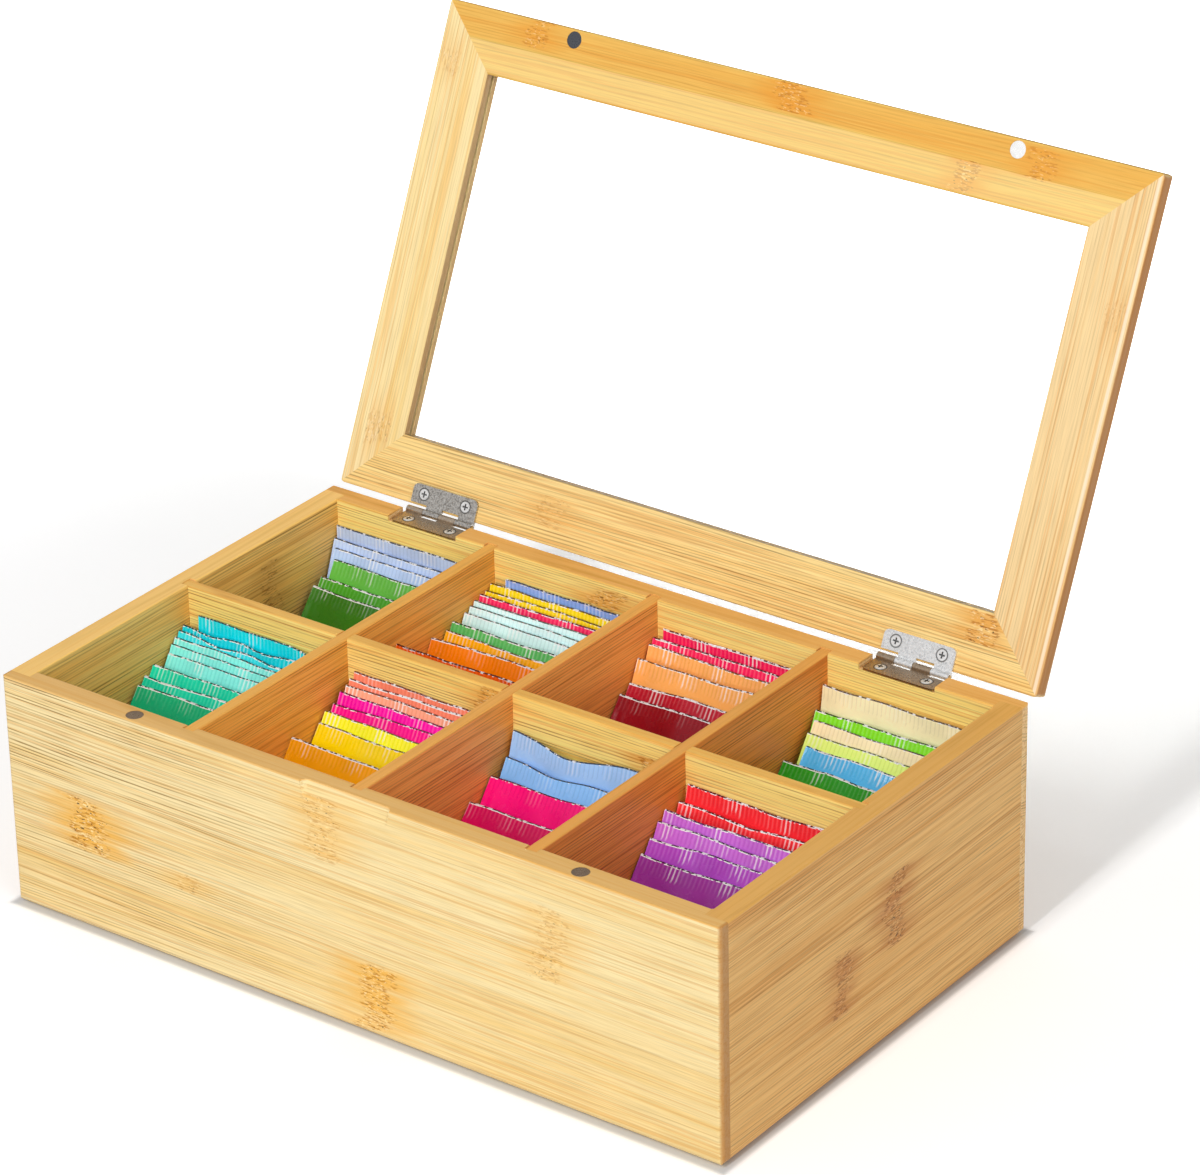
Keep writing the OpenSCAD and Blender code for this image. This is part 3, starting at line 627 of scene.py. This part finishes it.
# column and rank of the compartment, then its sachets back to front: sideways in percent of the play, top
# and foot in percent of the depth, colour, strength of the crimp ribs, how far the top waves in mm, how torn
# its edge is in mm, how white it is, and places that sag: share of the width, drop in mm, spread
sachetRows = {
    "rear_left": (0, "rear", [
        (10, 2, 2, "A4B6E2", 0.7, 0.3, 0.3, 0.5), (10, 4, 37, "A0B4DC", 0.9, 0.4, 0.3, 0.5),
        (40, 7, 47.5, "9BB2E4", 1.0, 0.5, 0.3, 0.6), (70, 11, 58.5, "55A03C", 0.9, 0.5, 0.3, 0.4),
        (40, 18, 75.5, "3C8A1E", 0.6, 0.6, 0.4, 0.7), (40, 23.5, 84, "2E6A14", 0.6, 0.8, 0.4, 1.0),
    ]),
    "rear_mid_left": (1, "rear", [
        (90, 2, 5, "7896D2", 0.8, 0.4, 0.5, 0.3), (10, 4, 28.5, "FABE14", 0.8, 0.4, 0.4, 0.4),
        (10, 7.5, 38.5, "FABE14", 0.8, 0.5, 0.4, 0.5), (10, 11.5, 44, "E12355", 1.0, 0.4, 0.3, 0.6),
        (10, 16, 51.5, "B9E6D7", 0.6, 0.4, 0.3, 0.3), (10, 19, 58.5, "B9E6D7", 0.7, 0.4, 0.3, 0.3),
        (10, 23, 66.5, "B9E6D7", 1.0, 0.5, 0.3, 0.5), (10, 32, 76.5, "4BA050", 1.0, 0.7, 0.3, 0.7),
        (10, 37, 85.5, "FF9600", 0.9, 0.7, 0.3, 0.7), (10, 47, 93, "EC7200", 0.5, 0.8, 0.3, 0.9),
        (40, 75.5, 98, "D25000", 0.4, 0.5, 0.5, 0.4),
    ]),
    "rear_mid_right": (2, "rear", [
        (50, 2, 5, "D71950", 1.2, 0.3, 0.3, 0.9), (10, 4, 31.5, "D71950", 1.3, 0.5, 0.3, 0.5),
        (10, 7.5, 42, "FA9650", 1.0, 0.6, 0.4, 0.6), (10, 15.5, 57, "FA9650", 1.0, 0.9, 0.4, 0.6),
        (20, 23, 78.5, "A00C24", 0.9, 0.8, 0.3, 1.0), (10, 29, 89, "7C0014", 0.25, 0.8, 0.5, 1.0),
    ]),
    "rear_right": (3, "rear", [
        (10, 4.5, 17, "FACCA4", 0.35, 0.5, 0.3, 0.4), (10, 9.5, 53, "6EBE1E", 1.0, 0.7, 0.4, 0.6),
        (30, 14, 63, "F5C8A0", 0.6, 0.6, 0.3, 0.4), (30, 19, 74, "C0E06C", 0.7, 0.7, 0.3, 0.5),
        (60, 24, 83.5, "48A0D0", 1.1, 0.9, 0.4, 0.8), (10, 34, 98, "1E8214", 0.8, 0.7, 0.6, 1.0),
    ]),
    "front_left": (0, "front", [
        (80, 2, 5, "0AC6D2", 0.9, 0.2, 0.5, 0.2, (1.0, 3.6, 0.16)),
        (10, 5, 34.5, "00B0BC", 0.5, 0.5, 0.4, 0.5, (0.22, 1.6, 0.12), (0.62, 1.4, 0.14)),
        (10, 8, 43.5, "28BCC4", 0.5, 0.5, 0.4, 0.6, (0.30, 1.6, 0.12), (0.75, 1.6, 0.14)),
        (10, 11, 51, "6ECCC4", 0.9, 0.6, 0.5, 0.4), (10, 13.5, 58, "6ECCC4", 0.9, 0.6, 0.5, 0.4),
        (20, 17, 66.5, "6ECCC4", 1.0, 0.7, 0.5, 0.5), (10, 26, 78, "00B994", 0.8, 0.8, 0.4, 0.6),
        (10, 32.5, 88.5, "00B490", 0.6, 0.9, 0.5, 1.0), (20, 38, 97, "009666", 0.4, 0.9, 0.4, 1.0),
    ]),
    "front_mid_left": (1, "front", [
        (60, 2, 21, "FA735A", 0.4, 0.4, 0.4, 0.6), (50, 4, 33, "FA735A", 0.6, 0.5, 0.5, 1.0),
        (50, 6.5, 42, "FA8C72", 1.0, 0.4, 0.3, 0.5), (30, 9, 50.5, "EB0090", 0.6, 0.6, 0.3, 0.4),
        (30, 13, 60.5, "EB007A", 0.5, 0.8, 0.3, 0.3), (10, 17, 70, "FAD71E", 1.0, 0.6, 0.3, 0.3),
        (10, 22, 80, "EEBC00", 0.6, 0.7, 0.3, 0.5), (10, 40.5, 97.5, "D28C00", 0.6, 0.8, 0.4, 1.0),
    ]),
    "front_mid_right": (2, "front", [
        (20, 2, 30, "84AAD8", 0.5, 0.4, 0.2, 0.1, (0.42, 4.6, 0.24)),
        (30, 8, 57.5, "70A2E0", 0.5, 0.5, 0.2, 0.1, (0.36, 3.2, 0.20), (0.75, 1.5, 0.15)),
        (10, 16.5, 75, "DA0068", 0.15, 0.8, 0.3, 0.3), (10, 32.5, 97.5, "B4004C", 0.6, 0.8, 0.3, 1.0),
    ]),
    "front_right": (3, "front", [
        (30, 2, 23, "E6242C", 0.9, 0.6, 0.4, 0.5), (10, 6, 46, "E6242C", 0.9, 1.2, 0.4, 0.7),
        (10, 16, 54.5, "A855B4", 1.0, 0.7, 0.4, 0.6), (10, 20.5, 66.5, "A855B4", 1.0, 0.7, 0.4, 0.6),
        (10, 25.5, 79, "963CA5", 0.9, 1.0, 0.4, 0.7), (10, 33, 93, "822882", 0.8, 1.0, 0.4, 0.8),
    ]),
}


# crest and trough: how strongly the painted highlight on the rib crests and the painted shade between them
# show
filmLook = {
    "inkGain": 1.5, "rimShadeGain": 0.12, "foil": "F4F5F6", "glint": "D8DADC", "crest": 0.9, "trough": 0.3,
}
# where bare foil shows: noise scale, its detail, the level, its softness, how far whiteness lowers the level
foilNoise = {"band": (700.0, 2.0, 0.60, 0.08, 0.26), "rim": (620.0, 1.0, 0.66, 0.04, 0.16)}


def makeFilmGroup():
    # printed film: faint shifts of tone, soft dents, a gloss that comes and goes, and the ribs' painted
    # highlight and shade
    tree, given, result = newGroup(
        "foilFilm", [("Ink", "C", None), ("Seed", "F", 0.0)],
        [("Color", "C"), ("Roughness", "F"), ("Height", "F")])
    place = stretched(tree, objectPlace(tree), 1, 1, given["Seed"])
    cloud = noise(tree, place, 55.0, 2.0)
    dents = noise(tree, place, 170.0, 3.0, 0.6)
    toneShift = grey(tree, ramp(tree, cloud, 0.35, 0.7, 1.06, 0.92))
    ink = blendColour(tree, 1.0, given["Ink"], toneShift, "MULTIPLY")
    rib = put(tree, "ShaderNodeAttribute", attribute_name="rib").outputs["Fac"]
    glint = put(tree, "ShaderNodeAttribute", attribute_name="glint").outputs["Fac"]
    # painted highlight on the crests of the pressed ribs, in groups, and painted shade between them
    pale = blendColour(tree, filmLook["crest"], ink, (1, 1, 1, 1))
    deep = blendColour(tree, 0.4, ink, (0, 0, 0, 1))
    ink = blendColour(tree, times(tree, ramp(tree, rib, 0.45, 0.05), filmLook["trough"]), ink, deep)
    ink = blendColour(tree, times(tree, ramp(tree, rib, 0.50, 0.80), glint), ink, pale)
    tree.links.new(ink, result["Color"])
    tree.links.new(ramp(tree, dents, 0.3, 0.7, 0.20, 0.32), result["Roughness"])
    tree.links.new(dents, result["Height"])
    return tree


filmGroup = makeFilmGroup()
films = {}


def filmMaterial(code, part="film", whiteness=0.0):
    # film is the printed face, band the torn strip where foil shows through, and rim the thin cut edge,
    # painted dark as the shade of the gap behind it, with foil glinting in it here and there
    key = (code, part, whiteness)
    if key in films:
        return films[key]
    name = "foil_%s_%s_%02d" % (part, code, 10 * whiteness)
    material, tree, shader = newMaterial(name, IOR=1.5, Specular_IOR_Level=0.32)
    gain = filmLook["rimShadeGain" if part == "rim" else "inkGain"]
    ink = [min(1.0, value) for value in tint(code, gain)]
    film = useGroup(tree, filmGroup, {"Ink": ink, "Seed": 0.7 * len(films)})
    colour = film["Color"]
    if part in foilNoise:
        scale, detail, level, soft, fall = foilNoise[part]
        start = level - fall * whiteness
        bare = ramp(tree, noise(tree, objectPlace(tree), scale, detail), start, start + soft)
        colour = blendColour(tree, bare, colour, tint(filmLook["foil" if part == "band" else "glint"]))
    feedSurface(tree, shader, colour, film, *relief["film"])
    films[key] = material
    return material


def makeSachetBlank():
    # a flat double sheet with a column of faces on each side of every rib
    columns, steps = 2 * sachetShape["ribs"], len(sachetHeights) - 1
    bpy.ops.mesh.primitive_grid_add(
        x_subdivisions=columns, y_subdivisions=steps, size=1.0, location=(0, 0, 0))
    blank = bpy.context.object
    bpy.ops.object.mode_set(mode="EDIT")
    bpy.ops.mesh.select_all(action="SELECT")
    bpy.ops.mesh.extrude_region_move(TRANSFORM_OT_translate={"value": (0, 0, sheetGap)})
    bpy.ops.mesh.select_all(action="SELECT")
    bpy.ops.mesh.normals_make_consistent(inside=False)
    bpy.ops.object.mode_set(mode="OBJECT")
    mesh = blank.data
    for polygon in mesh.polygons:  # 1 is the torn band, the topmost row of faces, and 2 the cut edge
        lowest = min(mesh.vertices[v].co.y for v in polygon.vertices)
        polygon.material_index = 2 if lowest > 0.4999 else 1 if lowest > 0.5 - 1.5 / steps else 0
    place = np.empty(len(mesh.vertices) * 3)
    mesh.vertices.foreach_get("co", place)
    place = place.reshape(-1, 3)
    column = np.rint((place[:, 0] + 0.5) * columns).astype(int)
    row = np.rint((place[:, 1] + 0.5) * steps).astype(int)
    return blank, column, np.array(sachetHeights)[row], place[:, 2] > sheetGap / 2


def smoothStep(value, low, high):
    t = np.clip((value - low) / (high - low), 0, 1)
    return t * t * (3 - 2 * t)


def softWave(x, seed, longest):
    # a few slow waves whose sizes and places come from the seed
    dice = np.random.RandomState(seed)
    total = np.zeros_like(x)
    for turn in (1.0, 1.9, 3.3):
        size = dice.uniform(0.5, 1.0) / turn
        total += size * np.sin(2 * np.pi * x / longest * turn + dice.uniform(0, 6.28))
    return total / 1.6


def addSachet(blank, column, upright, isFront, row, number):
    shape, box = sachetShape, compartments
    columnIndex, rank, bags = sachetRows[row]
    side, top, foot, code, ribs, wave, tear, whiteness = bags[number][:8]
    sags = bags[number][8:]
    height = shape["height"]
    seed = 100 * list(sachetRows).index(row) + number
    dice = np.random.RandomState(seed + 7)
    share = column / (2 * shape["ribs"])
    x = share * shape["width"]
    y = upright.copy()

    play = shape["crimpPlay"]
    start = shape["crimpTop"] + play * dice.uniform(0, 1, 2 * shape["ribs"] + 1)[column // 2 * 2]
    crimp = np.maximum(smoothStep(y, start, start + play), 1 - smoothStep(y, *shape["crimpFoot"]))
    seam = 1 - smoothStep(np.minimum(x, shape["width"] - x), *shape["seam"])
    belly = smoothStep(y, *shape["bellyFoot"]) * (1 - smoothStep(y, *shape["bellyTop"])) * (1 - seam)
    half = shape["film"] + belly * (shape["halfBelly"] - shape["film"])

    # crimp ribs, stronger and weaker along the top as the film was pressed
    press = 0.75 + 0.25 * softWave(x, seed + 11, 0.04)
    sense = np.where(column % 2 == 0, 1.0, -1.0)
    ribbed = sense * shape["ribDepth"] * ribs * press * crimp
    # glint: where the rib crests carry a painted highlight, in groups along the top; rib marks crest and
    # trough for it and for the painted shade between
    group = smoothStep(softWave(x, seed + 61, 0.022), -0.10, 0.60)
    rib = 0.5 * sense * crimp + 0.5
    glint = crimp * np.clip(ribs * (0.05 + 0.62 * group ** 2), 0, 1)
    crinkle = np.where((column // 2) % 2 == 0, 1.0, -1.0) * shape["crinkle"] * seam * (1 - crimp)
    # slow waves that grow towards the free top edge
    sway = softWave(x, seed + 23, 0.055) * wave * millimetre * smoothStep(y, shape["swayFrom"], height)
    puff = softWave(x + 0.35 * y, seed + 31, 0.045) * shape["puff"] * belly
    depth = np.where(isFront, 1.0, -1.0) * half + ribbed + crinkle + sway + puff

    # the torn top edge: the front leaf ends lower, so that the gap shows, and the top leans to one side
    torn = smoothStep(y, shape["tornFrom"], height) * tear * millimetre
    jag = dice.uniform(0, 1, 2 * shape["ribs"] + 1)[column]
    y -= torn * (0.18 * jag + 0.82 * (0.5 + 0.5 * softWave(x, seed + 41, 0.03)))
    y -= np.where(isFront & (upright == height), shape["leafStep"], 0.0)
    droop = shape["tilt"] * (softWave(x, seed + 53, 0.09) - 0.6) * min(1.0, wave)
    y += smoothStep(y, shape["tiltFrom"], height) * droop

    for middle, drop, spread in sags:  # places where the top sags forwards
        sag = np.exp(-((share - middle) / spread) ** 2) * drop * millimetre
        sag *= 0.7 * smoothStep(upright, shape["sagFrom"], height)
        y -= sag
        depth += sag

    left = box["firstLeft"] + box["pitch"] * columnIndex + side / 100 * box["play"]
    back = box["rearBack"] if rank == "rear" else box["frontBack"]
    lean = math.asin((foot - top) / 100 * box["depth"] / height)
    footZ = box["floor"] + shape["seat"] + shape["halfFoot"] * math.sin(lean)
    placed = np.empty((len(x), 3))
    placed[:, 0] = left + x
    placed[:, 1] = back - foot / 100 * box["depth"] + y * math.sin(lean) - depth * math.cos(lean)
    placed[:, 2] = footZ + y * math.cos(lean) + depth * math.sin(lean)

    piece = blank.copy()
    piece.data = blank.data.copy()
    piece.name = piece.data.name = "sachet_%s_%d" % (row, number + 1)
    bpy.context.scene.collection.objects.link(piece)
    piece.data.vertices.foreach_set("co", placed.ravel())
    for label, values in (("rib", rib), ("glint", glint)):
        made = piece.data.attributes.new(label, "FLOAT", "POINT")
        made.data.foreach_set("value", values.astype(np.float32))
    for part in ("film", "band", "rim"):
        piece.data.materials.append(filmMaterial(code, part, 0.0 if part == "film" else whiteness))
    piece.data.update()
    body = "sachets_" + row
    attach(piece, body)
    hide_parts(body)
    return piece


blank, *sheet = makeSachetBlank()
sachets = []
for row in sachetRows:
    for number in range(len(sachetRows[row][2])):
        sachets.append(addSachet(blank, *sheet, row, number))
bpy.data.objects.remove(blank)
bpy.ops.object.select_all(action="DESELECT")
for piece in sachets:
    piece.select_set(True)
bpy.context.view_layer.objects.active = sachets[0]
bpy.ops.object.shade_smooth_by_angle(angle=math.radians(smoothAngle))
bpy.ops.object.select_all(action="DESELECT")
print("sachets:", len(sachets))


# Floor, light and camera.
studio = {
    "floorSize": 14, "floorHeight": -0.0002, "floorTone": 0.78,
    "floorLift": 0.17, "farLift": 0.95, "liftReach": (0.34, 0.75),
    # contact: the painted shadow round the box's foot
    "contactFrom": 0.0005, "contactWidth": 0.004, "contactTone": 0.62,
    # white: painted light that lifts the lid's shadow out of the floor behind the window
    "whiteSideways": (0.02, 0.08), "whiteBehind": (0.24, 0.34), "whiteLift": 0.5,
    "skyStrength": 0.46, "skyMirrored": 0.65, "aim": (0, 0, 0.08),
    "keyFrom": (0.05, -0.80, 0.60), "keyDistance": 3.2, "keySize": (0.30, 2.7), "keyPower": 66.0,
    "fillFrom": (0.85, -0.35, 0.40), "fillDistance": 3.2, "fillSize": (1.5, 1.5), "fillPower": 19.0,
}

camera = {  # degrees and metres, the lens in mm
    "azimuth": 36.91, "elevation": 26.85, "roll": -1.24, "distance": 2.08015,
    "target": (-0.07741, 0.15788, 0.04766), "lens": 158.415,
}


def whiteToCamera(tree, plain, lift, mirrored):
    # plain for the light on the object, lift for what the camera sees, mirrored for glossy pieces
    path = tree.nodes.new("ShaderNodeLightPath").outputs
    seen = plus(tree, path["Is Camera Ray"], path["Is Transmission Ray"], True)
    value = plus(tree, plain, times(tree, seen, minus(tree, lift, plain)))
    return plus(tree, value, times(tree, path["Is Glossy Ray"], minus(tree, mirrored, value)))


world = bpy.data.worlds.new("studioWorld")
bpy.context.scene.world = world
world.use_nodes = True
sky = world.node_tree.nodes["Background"]
sky.inputs["Color"].default_value = (1, 1, 1, 1)
skyLight = whiteToCamera(world.node_tree, studio["skyStrength"], 1.0, studio["skyMirrored"])
world.node_tree.links.new(skyLight, sky.inputs["Strength"])

bpy.ops.mesh.primitive_plane_add(size=studio["floorSize"], location=(0, 0, studio["floorHeight"]))
floor = bpy.context.object
floor.name = "studioFloor"
floorMaterial, tree, shader = newMaterial("studioFloor", Roughness=0.9, Specular_IOR_Level=0.1)
wallLow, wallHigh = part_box("front_wall")  # its length and front are those of the box
spot = apart(tree, objectPlace(tree))
cloud = noise(tree, objectPlace(tree), 2.0)
grit = ramp(tree, cloud, 0.3, 0.7, studio["floorTone"] * 0.995, studio["floorTone"])
# painted shadow: the narrow dark line round the foot of the box, drawn into the floor's colour
pastEnd = minus(tree, absolute(tree, spot[0]), wallHigh[0])
pastFront = minus(tree, absolute(tree, spot[1]), -wallLow[1])
beside = maths(tree, "MAXIMUM", pastEnd, pastFront)
contact = ramp(tree, beside, studio["contactFrom"], studio["contactWidth"], studio["contactTone"], 1.0)
feed(tree, grey(tree, whiteToCamera(tree, grit, contact, 1.0)), shader, "Base Color")
# the floor shines a little for the camera, more with distance, and behind the lid's window painted light
# lifts out the lid's shadow, so it stays white
shader.inputs["Emission Color"].default_value = (1, 1, 1, 1)
away = vectorMaths(tree, "LENGTH", objectPlace(tree), output="Value")
behind = times(tree, ramp(tree, spot[0], *studio["whiteSideways"], 1.0, 0.0),
               ramp(tree, spot[1], *studio["whiteBehind"], 0.0, studio["whiteLift"]))
lift = plus(tree, ramp(tree, away, *studio["liftReach"], studio["floorLift"], studio["farLift"]), behind)
# the lift dims too inside the painted shadow round the foot
lift = times(tree, lift, ramp(tree, contact, studio["contactTone"], 1.0))
feed(tree, whiteToCamera(tree, 0.0, lift, lift), shader, "Emission Strength")
floor.data.materials.append(floorMaterial)


def softLamp(name, direction, distance, size, power):
    aim = Vector(studio["aim"])
    lamp = bpy.data.lights.new(name, "AREA")
    lamp.shape = "RECTANGLE"
    lamp.size, lamp.size_y = size
    lamp.energy = power
    thing = bpy.data.objects.new(name, lamp)
    bpy.context.scene.collection.objects.link(thing)
    thing.location = aim + Vector(direction).normalized() * distance
    thing.rotation_euler = (aim - thing.location).to_track_quat("-Z", "Y").to_euler()


for lampName in ("key", "fill"):
    values = [studio[lampName + value] for value in ("From", "Distance", "Size", "Power")]
    softLamp(lampName + "Lamp", *values)

lens = bpy.data.cameras.new("photoCamera")
lens.sensor_fit = "HORIZONTAL"
lens.sensor_width = 36.0
lens.lens = camera["lens"]
lens.clip_start, lens.clip_end = 0.1, 30.0
cameraObject = bpy.data.objects.new("photoCamera", lens)
bpy.context.scene.collection.objects.link(cameraObject)
azimuth, elevation, roll = (math.radians(camera[k]) for k in ("azimuth", "elevation", "roll"))
level = math.cos(elevation)
back = Vector((math.sin(azimuth) * level, -math.cos(azimuth) * level, math.sin(elevation)))
right = (-back).cross(Vector((0, 0, 1))).normalized()
up = right.cross(-back)
turnedRight = math.cos(roll) * right + math.sin(roll) * up
turnedUp = -math.sin(roll) * right + math.cos(roll) * up
turn = Matrix((turnedRight, turnedUp, back)).transposed()
stand = Vector(camera["target"]) + back * camera["distance"]
cameraObject.matrix_world = Matrix.Translation(stand) @ turn.to_4x4()
bpy.context.scene.camera = cameraObject
bpy.context.scene.view_settings.view_transform = "Standard"
print("studio and camera set")
